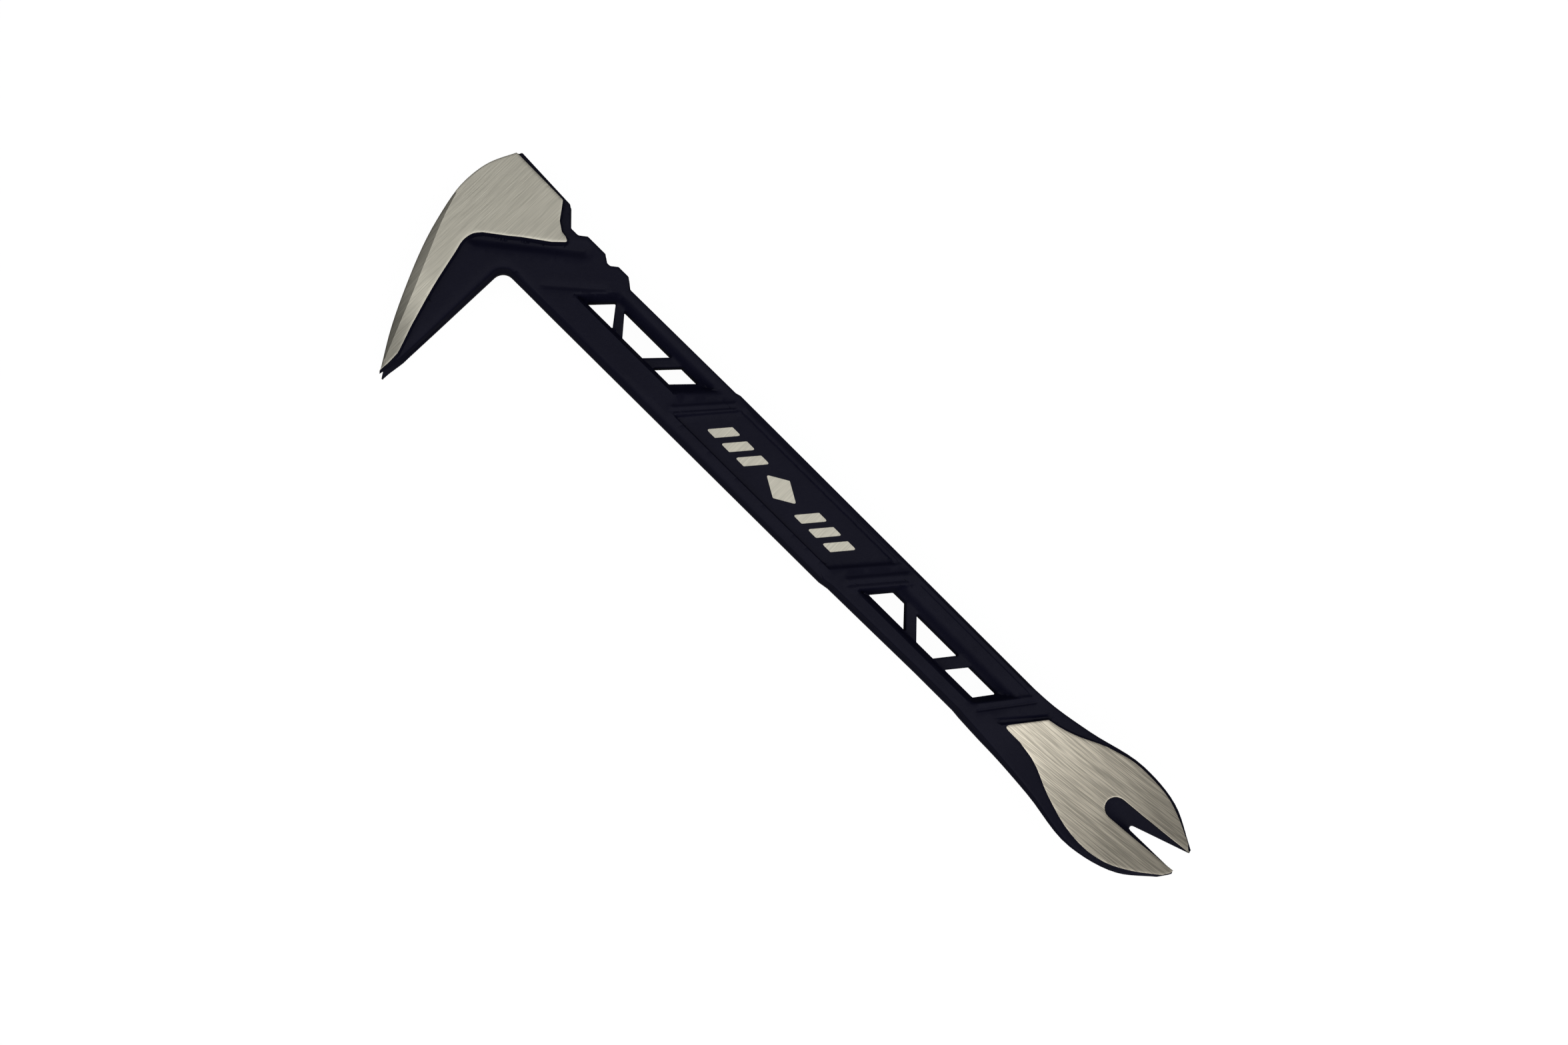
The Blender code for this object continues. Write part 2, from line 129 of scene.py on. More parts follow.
# Stretches of X or Y, from and to, over which one shape turns into the next.
FRONT_BLEND_X = 234, 246    # the shank's coated front into the tail's
BACK_BLEND_X = 232, 242     # the mirrored back into the tail's curled back
EDGE_BLEND_X = 236, 250     # the shank's rounded edge into the tail's
SLOT_BLEND_X = 236, 256     # the front's nail slot into the back's
THINNING_Y = 0, -40
LEANING_Y = -18, -42
INNER_CLAW = (50, 36), (5, -1), (14, 19)    # in X, Y and X: into the hooked claw's inner band
INNER_TIP_Y = -6, -44       # the inner band's edge gets sharper towards the tips
CLAW_SLOT_X = 10, 24        # the slot gets wider towards the claw's inner side

# Radii of the inner band's edge: added at its root, and taken off again towards the tips.
INNER_ROOT_SOFT, INNER_TIP_SHARP = 0.4, 0.7
# Radii of the tail's edges: share of the thickness, and the thickness beyond which they stay the same.
TAIL_FRONT_ROUND = 0.2, 3.6
TAIL_BACK_ROUND = 0.3, 4.0


# ---------------------------------------------------------------- lines and distances
def ease(t):
    t = np.clip(t, 0, 1)
    return t * t * (3 - 2 * t)


def rise(values, start, end):
    """Goes smoothly from 0 where the values are at start to 1 where they are at end."""
    return ease((values - start) / (end - start))


def unit(vectors):
    """The vectors at length 1."""
    return vectors / np.maximum(np.linalg.norm(vectors, axis=1), 1e-9)[:, None]


def smooth(points, steps):
    """Points on a curve through the given points: cubic pieces whose tangents follow the neighbours."""
    p = np.array(points, float)
    spans = np.linalg.norm(np.diff(p, axis=0), axis=1)
    slopes = np.diff(p, axis=0) / spans[:, None]
    share = (spans[:-1] / (spans[:-1] + spans[1:]))[:, None]
    tangents = np.vstack([slopes[:1], slopes[:-1] * (1 - share) + slopes[1:] * share, slopes[-1:]])
    line = [tuple(p[0])]
    for i, span in enumerate(spans):
        for step in range(1, steps + 1):
            t = step / steps
            line.append(tuple(
                (2 * t**3 - 3 * t**2 + 1) * p[i] + (t**3 - 2 * t**2 + t) * span * tangents[i]
                + (3 * t**2 - 2 * t**3) * p[i + 1] + (t**3 - t**2) * span * tangents[i + 1]
            ))
    return line


def fillet(points, radius, closed=False, steps=4):
    """The line with its corners turned into arcs."""
    line = [] if closed else [points[0]]
    inner = range(len(points)) if closed else range(1, len(points) - 1)
    for i in inner:
        corner = Vector(points[i])
        before = Vector(points[i - 1]) - corner
        after = Vector(points[(i + 1) % len(points)]) - corner
        half = before.angle(after) / 2
        reach = min(radius / math.tan(half), 0.45 * before.length, 0.45 * after.length)
        start, end = corner + before.normalized() * reach, corner + after.normalized() * reach
        for step in range(steps + 1):
            t = step / steps
            line.append(tuple(start * (1 - t) ** 2 + corner * 2 * t * (1 - t) + end * t**2))
    return line if closed else line + [points[-1]]


def divide(line, spacing, closed=False):
    """The line with long stretches cut up."""
    result = []
    ends = list(line[1:]) + ([line[0]] if closed else [])
    for a, b in zip(line, ends):
        count = max(1, math.ceil(math.dist(a, b) / spacing))
        result += [(a[0] + (b[0] - a[0]) * k / count, a[1] + (b[1] - a[1]) * k / count) for k in range(count)]
    return result if closed else result + [tuple(line[-1])]


def even(line, count):
    """The line as count stretches of equal length."""
    p = np.array(line, float)
    along = np.concatenate([[0], np.cumsum(np.linalg.norm(np.diff(p, axis=0), axis=1))])
    at = np.linspace(0, along[-1], count + 1)
    return [(x, y) for x, y in zip(np.interp(at, along, p[:, 0]), np.interp(at, along, p[:, 1]))]


def nearest(points, line, closed=False):
    """For each point: its distance to the line, the nearest point, the segment and the share along it."""
    a = np.array(line, float)
    b = np.roll(a, -1, axis=0)
    if not closed:
        a, b = a[:-1], b[:-1]
    d = b - a
    size = (d * d).sum(1)
    distance, where, segment, share = [], [], [], []
    for chunk in np.array_split(np.asarray(points, float), max(1, len(points) // 2000)):
        t = np.clip(((chunk[:, None] - a) * d).sum(2) / size, 0, 1)
        q = a + t[..., None] * d
        far = np.linalg.norm(chunk[:, None] - q, axis=2)
        k = far.argmin(1)
        rows = np.arange(len(chunk))
        distance.append(far[rows, k])
        where.append(q[rows, k])
        segment.append(k)
        share.append(t[rows, k])
    return np.concatenate(distance), np.concatenate(where), np.concatenate(segment), np.concatenate(share)


def distance_to(points, line, closed=False):
    return nearest(points, line, closed)[0]


def inside(points, outline):
    a = np.array(outline, float)
    b = np.roll(a, -1, axis=0)
    x, y = points[:, 0, None], points[:, 1, None]
    crosses = (a[:, 1] > y) != (b[:, 1] > y)
    with np.errstate(divide="ignore", invalid="ignore"):
        at = a[:, 0] + (y - a[:, 1]) * (b[:, 0] - a[:, 0]) / (b[:, 1] - a[:, 1])
    return (crosses & (x < at)).sum(1) % 2 == 1


def left_of(points, a, b):
    """Signed distance to the straight line from a to b, positive on its left."""
    a, d = np.array(a), np.array(b) - np.array(a)
    d = d / np.linalg.norm(d)
    away = points - a
    return d[0] * away[:, 1] - d[1] * away[:, 0]


def shifted(a, b, offset):
    """The stretch from a to b moved to its left."""
    d = Vector(b) - Vector(a)
    n = Vector((-d.y, d.x)).normalized() * offset
    return tuple(Vector(a) + n), tuple(Vector(b) + n)


def leaning(x, low, high, base):
    """A stretch from height low to high on a line that leans with the ribs and passes x at height base."""
    return (x + (low - base) / LEAN, low), (x + (high - base) / LEAN, high)


# ---------------------------------------------------------------- outlines
OUTER = divide(smooth(
    [(5.5, 28.8), (0.8, 17.6), (0.0, 9.5), (2.7, -5.6), (10.9, -27.2), (17.2, -39.8), (24.7, CLAW_TIP)], 7
), 1.2)
CORNER_RADIUS = 3.6
CLAW_INNER = 26.8
RAIL_LOW = -0.5
INNER = [(24.7, CLAW_TIP), (25.5, -47.6), (26.1, -43.5), (26.4, -29.0)] + [
    (CLAW_INNER + CORNER_RADIUS * (1 - math.sin(a)), RAIL_LOW - CORNER_RADIUS * (1 - math.cos(a)))
    for a in (math.radians(90 - step * 10) for step in range(10))
]
LOWER_EDGE = fillet(
    [INNER[-1], (166.5, RAIL_LOW), (170.0, 0.05), (188.0, 0.25), (208.0, 0.5), (225.0, 0.45), (228.0, 0.15),
     (231.6, -0.05)], 1.5
)
TAIL_LOWER = smooth(
    [(231.6, -0.05), (245.7, -0.9), (259.3, -2.5), (279.0, -5.8), (293.6, -2.2), (302.4, 4.9)], 6
)
LOWER_TIP, UPPER_TIP = (304.4, 9.5), (304.4, 16.9)
SLOT_STEPS = 26
SLOT_ARC = [
    (SLOT_CENTRE + SLOT_HALF * math.cos(a), SLOT_AXIS - SLOT_HALF * math.sin(a))
    for a in (math.radians(90 + 10 * step) for step in range(10))
]
V_ARC = [
    (V_APEX + V_APEX_HALF * math.cos(a), V_AXIS - V_APEX_HALF * math.sin(a))
    for a in (math.radians(105 + 15 * step) for step in range(6))
]


def both_sides(arc, axis):
    """From the lower tip round the arc and its mirror image to the upper tip."""
    mirrored = [(x, 2 * axis - y) for x, y in reversed(arc)]
    return even([LOWER_TIP] + arc, SLOT_STEPS) + even(mirrored + [UPPER_TIP], SLOT_STEPS)[1:]


SLOT = both_sides(SLOT_ARC, SLOT_AXIS)
SLOT_BACK = both_sides(V_ARC, V_AXIS)
TAIL_UPPER = smooth(
    [(304.3, 18.0), (292.2, 25.9), (278.5, 28.3), (259.3, 25.0), (246.0, 23.1), (238.0, 22.6)], 6
)
UPPER_EDGE = fillet([
    (238.0, 22.6), (107.9, 23.05), (106.3, 22.6), (60.2, 22.35), (57.0, 24.9), (52.4, 24.9), (50.3, 23.2),
    (49.1, 23.2), (46.8, 24.9), (38.9, 24.9), (36.5, 23.0), (33.6, 23.0), (32.6, 23.6), (28.1, 28.2),
    (6.0, 29.15), (5.6, 28.9),
], 1.2)[:-1]
LOWER_TURN = [(304.2, 7.5), (304.8, 8.6)]
SILHOUETTE = (
    OUTER + divide(INNER[1:], 1.2)
    + divide(LOWER_EDGE[1:], 1.5) + divide(TAIL_LOWER[1:], 1.3) + LOWER_TURN
    + SLOT + divide(TAIL_UPPER, 1.3) + divide(UPPER_EDGE[1:], 1.5)
)
OUTSIDE = SILHOUETTE[:SILHOUETTE.index(SLOT[0]) + 1], SILHOUETTE[SILHOUETTE.index(SLOT[-1]):]

HEAD_WINDOWS = (
    [(52.9, 9.9), (64.6, 9.9), (59.3, 16.8)],
    [(68.9, 9.95), (77.7, 9.95), (84.1, 16.75), (63.1, 16.75)],
    [(82.2, 9.95), (89.4, 9.95), (95.9, 16.75), (88.5, 16.75)],
)
TAIL_WINDOWS = (
    [(179.9, 7.05), (196.3, 7.05), (190.3, 13.6), (185.4, 13.6)],
    [(201.2, 7.05), (208.5, 7.05), (213.7, 13.55), (195.1, 13.55)],
    [(213.5, 7.05), (225.9, 7.05), (230.8, 13.5), (218.8, 13.5)],
)
WINDOWS = [divide(fillet(w, 0.35, closed=True), 0.9, closed=True) for w in HEAD_WINDOWS + TAIL_WINDOWS]

land_start = next(i for i, (x, y) in enumerate(OUTER) if y < 27.7)
HEAD_LAND = OUTER[land_start:] + divide(
    [OUTER[-1], (24.95, -48.0), (24.6, -43.5)]
    + smooth([(21.3, -34.5), (17.4, -21.5), (14.3, -8.6), (13.3, -4.2), (13.9, -0.7), (15.7, 1.7)], 3)
    + fillet([(21.9, 6.5), (25.1, 9.2), (32.7, 14.8), (36.2, 18.3), (34.6, 19.1), (32.6, 19.4), (29.7, 21.4),
              (25.7, 26.9), OUTER[land_start]], 0.8),
    1.0,
)[1:-1]
TAIL_LAND = SLOT + divide(
    [SLOT[-1], (303.6, 17.4), (302.0, 19.1)]
    + smooth([(302.0, 19.1), (296.0, 22.8), (289.9, 25.6), (281.6, 27.0), (274.8, 27.0),
              (266.3, 24.9)], 4)[1:]
    + smooth([(263.6, 23.8), (257.3, 20.9), (251.2, 19.0), (247.4, 18.3)], 3)
    + fillet([(247.4, 18.3), (238.5, 7.0), (246.0, 6.9)], 1.1)[1:]
    + smooth([(246.9, 6.7), (251.9, 5.8), (263.0, 0.9), (276.1, -3.1), (283.0, -3.5), (289.0, -2.4),
              (296.0, 1.1), (302.9, 6.2)], 4)
    + [(304.2, 8.4), SLOT[0]],
    1.0,
)[1:-1]
BEVEL_LINE = smooth([(1.2, 4.5), (3.4, -2.0), (9.4, -15.8), (13.4, -24.9), (18.6, -37.3), (22.8, -47.3)], 4)

# ---------------------------------------------------------------- relief on the coated faces
# A pocket: its sides counter-clockwise as (from, to, width of the slope), and its depth.
POCKETS = (
    ([((48.2, 8.0), (93.5, 8.0), 1.9), ((93.5, 8.0), (104.4, 19.7), 4.2),
      ((104.4, 19.7), (59.0, 19.7), 3.4), ((59.0, 19.7), (48.2, 8.0), 2.2)], SHANK_HALF - WEB_HALF),
    ([((175.0, 4.4), (226.9, 4.4), 2.6), ((226.9, 4.4), (237.0, 17.2), 3.0),
      ((237.0, 17.2), (186.2, 17.2), 3.7), ((186.2, 17.2), (175.0, 4.4), 2.3)], SHANK_HALF - WEB_HALF - 0.5),
    ([((177.0, 5.4), (227.0, 5.4), 1.0), ((227.0, 5.4), (239.4, 20.2), 1.2),
      ((239.4, 20.2), (188.6, 20.2), 0.4), ((188.6, 20.2), (177.0, 5.4), 1.0)], 0.5),
    ([((97.3, 3.2), (166.0, 3.2), 0.5), ((166.0, 3.2), (180.1, 19.5), 1.7),
      ((180.1, 19.5), (111.0, 19.5), 0.5), ((111.0, 19.5), (97.3, 3.2), 0.9)], 0.75),
    ([((97.3, 3.2), (166.0, 3.2), 0.5), ((166.0, 3.2), (181.1, 20.7), 1.2),
      ((181.1, 20.7), (112.0, 20.7), 0.4), ((112.0, 20.7), (97.3, 3.2), 0.9)],
     SHANK_HALF - PANEL_HALF - 0.75),
)
RIB_HEAD = (96.7, 4.3), (109.3, 18.7)
RIB_TAIL = (172.9, 4.8), (184.9, 18.9)
# A groove: from, to, half the width of its floor, width of its slopes, and depth, negative for a bead.
GROOVES = (
    ((14.9, -1.1), (41.4, 20.3), 0.2, 2.8, 1.3),
    ((40.8, 4.0), (54.6, 16.3), 0.1, 1.4, 0.4),
    (*shifted(*RIB_HEAD, 0.95), 0.2, 1.0, -0.5),
    (*shifted(*RIB_HEAD, -0.95), 0.2, 1.0, -0.4),
    (*shifted(*RIB_TAIL, 0.4), 0.4, 1.3, -0.8),
    (*shifted(*RIB_TAIL, -2.0), 0.3, 1.2, -0.6),
    ((229.4, 4.6), (240.8, 19.4), 0.1, 0.6, 0.4),
    (*shifted((228.9, 5.4), (239.7, 19.0), 1.2), 0.1, 0.9, -0.15),
    ((236.9, 7.4), (246.9, 18.6), 0.4, 0.9, 1.0),
)


def bay_line(x):
    return leaning(x, BAY_LOW, BAY_HIGH, LEAN_BASE)


PANEL_ENDS = [leaning(x, PANEL_LOW, PANEL_HIGH, PANEL_BASE) for x in (97.25, 163.45)]
CLAW_EDGE = 36.35
LOWER_RAIL_START, UPPER_RAIL_START = 47.15, 60.15
BAY_HEAD, BAY_TAIL = (47.3, 91.35), (176.45, 228.95)
LOWER_RAIL_END, UPPER_RAIL_END = bay_line(BAY_TAIL[1])[0][0], bay_line(BAY_TAIL[1])[1][0]
STRIKE_LINE = 25.45
BLADE_START, TINE_START = 250.15, 276.15


def panel_line(side, y):
    """X of the panel's left or right end at height y."""
    return PANEL_ENDS[side][0][0] + (y - PANEL_LOW) / LEAN


SECTION_LINES = [
    [(-1, STRIKE_LINE), (32.0, STRIKE_LINE)],
    [(5.0, CLAW_SPLIT), (26.0, CLAW_SPLIT)],
    [(CLAW_EDGE, -1), (CLAW_EDGE, 24)],
    [(LOWER_RAIL_START, -1), (LOWER_RAIL_START, BAY_LOW)],
    [(LOWER_RAIL_START, BAY_LOW), (panel_line(0, BAY_LOW), BAY_LOW), PANEL_ENDS[0][0], PANEL_ENDS[1][0],
     (panel_line(1, BAY_LOW), BAY_LOW), (LOWER_RAIL_END, BAY_LOW), (LOWER_RAIL_END, -1)],
    [(UPPER_RAIL_START, 24), (UPPER_RAIL_START, BAY_HIGH)],
    [bay_line(BAY_HEAD[0])[1], (panel_line(0, BAY_HIGH), BAY_HIGH), PANEL_ENDS[0][1], PANEL_ENDS[1][1],
     (panel_line(1, BAY_HIGH), BAY_HIGH), (UPPER_RAIL_END, BAY_HIGH), (UPPER_RAIL_END, 24)],
    list(bay_line(BAY_HEAD[0])), list(bay_line(BAY_HEAD[1])), list(bay_line(BAY_TAIL[0])),
    list(bay_line(BAY_TAIL[1])),
    [(panel_line(0, BAY_LOW), BAY_LOW), (panel_line(0, BAY_HIGH), BAY_HIGH)],
    [(panel_line(1, BAY_LOW), BAY_LOW), (panel_line(1, BAY_HIGH), BAY_HIGH)],
    [(BLADE_START, -4), (BLADE_START, 26)],
    [(TINE_START, -8), (TINE_START, 30)],
    [(TINE_START, SLOT_AXIS), SLOT[SLOT_STEPS]],
]


def section_of(x, y):
    """The name of the coated section that holds a point."""
    bay = x - (y - LEAN_BASE) / LEAN
    panel = x - (y - PANEL_LOW) / LEAN
    panel_start, panel_end = PANEL_ENDS[0][0][0], PANEL_ENDS[1][0][0]
    if x < CLAW_EDGE:
        return "strike_face" if y > STRIKE_LINE else "head_core" if y > CLAW_SPLIT else "claw_tine"
    if x > TINE_START:
        return "tail_tine_lower" if y < SLOT_AXIS else "tail_tine_upper"
    if x > BLADE_START:
        return "tail_blade"
    beside_panel = panel_start < panel < panel_end
    if y < (PANEL_LOW if beside_panel else BAY_LOW):
        return "neck" if x < LOWER_RAIL_START else "lower_rail" if x < LOWER_RAIL_END else "tail_neck"
    if y > (PANEL_HIGH if beside_panel else BAY_HIGH):
        return "neck" if x < UPPER_RAIL_START else "upper_rail" if x < UPPER_RAIL_END else "tail_neck"
    if beside_panel:
        return "grip_panel"
    if bay < BAY_HEAD[0]:
        return "neck"
    if bay < BAY_HEAD[1]:
        return "web_bay_head"
    if panel < panel_start:
        return "diagonal_rib_head"
    if bay < BAY_TAIL[0]:
        return "diagonal_rib_tail"
    return "web_bay_tail" if bay < BAY_TAIL[1] else "tail_neck"


# ---------------------------------------------------------------- the sheet's points
class Scatter:
    """Points of the sheet, each kept only where it is clear of those before it."""

    CELL = 0.6

    def __init__(self):
        self.points = []
        self.cells = {}

    def add(self, points, clear):
        reach = int(clear // self.CELL) + 1
        for x, y in points:
            i, j = int(x // self.CELL), int(y // self.CELL)
            near = (
                q for a in range(i - reach, i + reach + 1) for b in range(j - reach, j + reach + 1)
                for q in self.cells.get((a, b), ())
            )
            if all((x - u) ** 2 + (y - v) ** 2 > clear * clear for u, v in near):
                self.points.append((x, y))
                self.cells.setdefault((i, j), []).append((x, y))


def row(line, offset, closed=False):
    """A row of points beside a line, to its left if offset is positive."""
    p = np.array(line, float)
    d = np.diff(np.vstack([p, p[:1]]) if closed else p, axis=0)
    n = unit(np.stack([-d[:, 1], d[:, 0]], 1))
    before, after = (np.roll(n, 1, axis=0), n) if closed else (np.vstack([n[:1], n]), np.vstack([n, n[-1:]]))
    middle = unit(before + after)
    mitre = np.maximum((middle * after).sum(1), 0.5)
    q = p + middle / mitre[:, None] * offset
    return q[distance_to(q, line, closed) > 0.93 * abs(offset)]


# Rows of points beside a line: their distances from it, or their shares of a slope's width.
EDGE_ROWS = (0.05, 0.18, 0.42, 0.9, 1.6, 2.6)
LAND_ROWS = (0.1, LAND_RIM, 0.8, -0.15, -0.3, -LAND_WALL, -1.1)
WINDOW_ROWS = (-0.06, -0.2, -WINDOW_EDGE, -1.2)
BEVEL_ROWS = (0.4, -0.4)
GROOVE_ROWS = (0, 0.33, 0.67, 1.0)
POCKET_ROWS = (0, 0.25, 0.5, 0.75, 1.0)
GRID = 1.7
SEAM_STEP = 1.5
NUDGE = 1e-6            # row() would drop a row at no distance at all from its line


def sheet_points():
    scatter = Scatter()
    for line, closed in [(SILHOUETTE, True), (HEAD_LAND, True), (TAIL_LAND, True)] + [
        (w, True) for w in WINDOWS
    ] + [(divide(line, SEAM_STEP), False) for line in SECTION_LINES] + [(BEVEL_LINE, False)]:
        scatter.add(line, 0.02)
    held = len(scatter.points)
    for outline in (HEAD_LAND, TAIL_LAND):
        for offset in LAND_ROWS:
            scatter.add(row(outline, offset, closed=True), 0.045 if abs(offset) < 0.2 else 0.12)
    for offset in EDGE_ROWS:
        scatter.add(row(SILHOUETTE, offset, closed=True), min(0.045 if offset < 0.1 else 0.1, 0.5 * offset))
    for window in WINDOWS:
        for offset in WINDOW_ROWS:
            scatter.add(row(window, offset, closed=True), 0.05 if offset > -0.1 else 0.1)
    for offset in BEVEL_ROWS:
        scatter.add(row(BEVEL_LINE, offset), 0.2)
    for a, b, floor, slope, depth in GROOVES:
        line = divide([a, b], 0.8)
        for side in (-1, 1):
            for share in GROOVE_ROWS:
                scatter.add(row(line, side * (floor + slope * share) + NUDGE), 0.14)
        scatter.add(line, 0.14)
    for sides, depth in POCKETS:
        for a, b, width in sides:
            line = divide([a, b], 1.2)
            for share in POCKET_ROWS:
                scatter.add(row(line, width * share + NUDGE), max(0.1, 0.12 * width))
    lines = math.ceil((30 - CLAW_TIP) / GRID)
    for j in range(lines):
        y = CLAW_TIP + j * GRID
        stagger = GRID / 2 * (j % 2)
        across = np.arange(stagger, 40 if y < -6 else LENGTH, GRID)
        scatter.add([(x, y) for x in across], 0.55 * GRID)
    points = np.array(scatter.points)
    keep = inside(points, SILHOUETTE)
    for window in WINDOWS:
        keep &= ~inside(points, window)
    keep[:held] = True
    return points[keep]


def triangulate(points):
    """The sheet's points and triangles, with every outline and section line among its edges."""
    place = {}
    coords = [tuple(p) for p in points]
    for k, (x, y) in enumerate(coords):
        place.setdefault((round(x, 3), round(y, 3)), k)
    edges = []

    def hold(line, closed):
        ends = list(line[1:]) + ([line[0]] if closed else [])
        for a, b in zip(line, ends):
            pair = []
            for x, y in (a, b):
                key = round(x, 3), round(y, 3)
                if key not in place:
                    place[key] = len(coords)
                    coords.append((x, y))
                pair.append(place[key])
            if pair[0] != pair[1]:
                edges.append(tuple(pair))

    for outline in [SILHOUETTE, HEAD_LAND, TAIL_LAND] + WINDOWS:
        hold(outline, True)
    for line in SECTION_LINES:
        hold(divide(line, SEAM_STEP), False)
    hold(BEVEL_LINE, False)
    found = delaunay_2d_cdt([Vector(c) for c in coords], edges, [], 0, 1e-4)
    made = np.array([tuple(v) for v in found[0]])
    triangles = np.array([f for f in found[2] if len(f) == 3])
    a, b, c = (made[triangles[:, k]] for k in range(3))
    turn = (b[:, 0] - a[:, 0]) * (c[:, 1] - a[:, 1]) - (b[:, 1] - a[:, 1]) * (c[:, 0] - a[:, 0])
    triangles[turn < 0] = triangles[turn < 0][:, ::-1]
    centres = made[triangles].mean(1)
    keep = inside(centres, SILHOUETTE) & (abs(turn) > 1e-7)
    for window in WINDOWS:
        keep &= ~inside(centres, window)
    return made, triangles[keep], centres[keep]


POINTS, TRIANGLES, CENTRES = triangulate(sheet_points())
X, Y = POINTS[:, 0], POINTS[:, 1]
TO_EDGE, EDGE_POINT = nearest(POINTS, SILHOUETTE, closed=True)[:2]
TO_WINDOW = np.min([distance_to(POINTS, w, closed=True) for w in WINDOWS], axis=0)
LANDS = {}
for name, outline in (("head", HEAD_LAND), ("tail", TAIL_LAND)):
    to_rim = distance_to(POINTS, outline, closed=True)
    LANDS[name] = {
        "to_rim": to_rim,
        "on_rim": to_rim < ON_LINE,
        "within": inside(POINTS, outline) & (to_rim >= ON_LINE),
        "triangles": inside(CENTRES, outline),
    }
SECTIONS = np.array([section_of(x, y) for x, y in CENTRES])


# ---------------------------------------------------------------- heights
def tail_front(x):
    return TAIL_FRONT + np.maximum(0, x - TAIL_START) ** 2 / (2 * TAIL_CURL_RADIUS)


def tail_thickness(x):
    share = np.clip((x - TAIL_START) / (LENGTH - TAIL_START), 0, 1)
    return TAIL_FRONT + SHANK_HALF - TAIL_BACK_FALL * share**TAIL_FALL_POWER


def round_over(distance, radius):
    """How far a rounded edge falls at this distance from it."""
    t = np.clip(1 - distance / radius, 0, 1)
    return radius * (1 - np.sqrt(1 - t * t))


def land_height():
    """Height of the head's and the tail's ground faces."""
    line_x = np.interp(Y, [p[1] for p in reversed(BEVEL_LINE)], [p[0] for p in reversed(BEVEL_LINE)])
    outside = (X < line_x) & (Y < BEVEL_LINE[0][1])
    head = HEAD_HALF - BEVEL_SLOPE * np.where(outside, distance_to(POINTS, BEVEL_LINE), 0)
    head -= CLAW_LEAN * rise(Y, *LEANING_Y) * np.clip(CLAW_INNER - X, 0, None)
    return np.where(X < MID_SHANK, head, tail_front(X))


def pocket_share(sides):
    return np.min([ease(left_of(POINTS, a, b) / width) for a, b, width in sides], axis=0)


def inner_claw():
    """How far each point belongs to the band along the hooked claw's inner edge."""
    from_shank, from_above, from_outside = INNER_CLAW
    return rise(X, *from_shank) * rise(Y, *from_above) * rise(X, *from_outside)


def tail_round(share, limit):
    return share * np.minimum(tail_thickness(X), limit)


def edge_radius():
    """Radius of the coated front's edge."""
    radius = EDGE_RADIUS + inner_claw() * (INNER_ROOT_SOFT - INNER_TIP_SHARP * rise(Y, *INNER_TIP_Y))
    radius += rise(X, *EDGE_BLEND_X) * (tail_round(*TAIL_FRONT_ROUND) - EDGE_RADIUS)
    return np.maximum(radius, LEAST_RADIUS)


def coated_front():
    """Height of the coated front, and of the recess floors under the ground faces."""
    z = SHANK_HALF - CLAW_THINNING * rise(Y, *THINNING_Y)
    tail = rise(X, *FRONT_BLEND_X)
    z = z * (1 - tail) + (tail_front(X) - TAIL_SHOULDER) * tail
    for sides, depth in POCKETS:
        z -= depth * pocket_share(sides)
    for a, b, floor, slope, depth in GROOVES:
        z -= depth * (1 - ease((distance_to(POINTS, [a, b]) - floor) / slope))
    ground = land_height()
    for land in LANDS.values():
        near = 1 - ease(land["to_rim"] / LAND_WALL)
        z = z + (ground - LAND_LIP - z) * near
    z -= CLAW_BEVEL * inner_claw() * np.clip(EDGE_ROWS[-1] - TO_EDGE, 0, None)
    z -= round_over(TO_WINDOW, WINDOW_EDGE)
    z -= round_over(TO_EDGE, edge_radius())
    for land in LANDS.values():
        sunk = land["within"] | (land["on_rim"] & (TO_EDGE < ON_LINE))
        z = np.where(sunk, ground - LAND_DEPTH, z)
    return z


def slot_shift():
    """The nail slot is a round slot on the front and a V on the back: how far each back point moves."""
    to_slot, _, segment, share = nearest(POINTS, SLOT)
    move = np.array(SLOT_BACK) - np.array(SLOT)
    at = move[segment] * (1 - share)[:, None] + move[segment + 1] * share[:, None]
    to_outside = np.min([distance_to(POINTS, line) for line in OUTSIDE], axis=0)
    weight = to_outside / np.maximum(to_outside + to_slot, 1e-6)
    weight *= rise(X, *SLOT_BLEND_X)
    return at * weight[:, None]


FRONT_Z = coated_front()
GROUND_Z = land_height()
BACK_XY = POINTS + slot_shift()
tail_back = tail_front(BACK_XY[:, 0]) - tail_thickness(BACK_XY[:, 0])
tail_back += round_over(TO_EDGE, np.maximum(LEAST_RADIUS, tail_round(*TAIL_BACK_ROUND)))
into_tail = rise(X, *BACK_BLEND_X)
BACK_Z = -FRONT_Z * (1 - into_tail) + tail_back * into_tail

along = np.clip((CLAW_SPLIT - CLAW_APEX_RADIUS - Y) / (CLAW_SPLIT - CLAW_APEX_RADIUS - CLAW_TIP), 0, 1)
apex = np.clip((CLAW_SPLIT - Y) / CLAW_APEX_RADIUS, 0, 1)
CLAW_SLOT_Z = (
    CLAW_APEX_RADIUS * np.sqrt(1 - (1 - apex) ** 2) + (CLAW_SLOT_WIDE - CLAW_APEX_RADIUS) * along
) * (CLAW_SLOT_OUTER + CLAW_SLOT_GAIN * rise(X, *CLAW_SLOT_X))


# ---------------------------------------------------------------- solids
def to_world(xy, z):
    return np.column_stack([xy, z]) * MM + ORIGIN


def boundary(triangles):
    """The directed edges that only one of the triangles has."""
    edges = np.concatenate([triangles[:, [0, 1]], triangles[:, [1, 2]], triangles[:, [2, 0]]])
    owner = np.tile(np.arange(len(triangles)), 3)
    directed = {(a, b): k for (a, b), k in zip(map(tuple, edges.tolist()), owner.tolist())}
    return [(a, b, k) for (a, b), k in directed.items() if (b, a) not in directed]


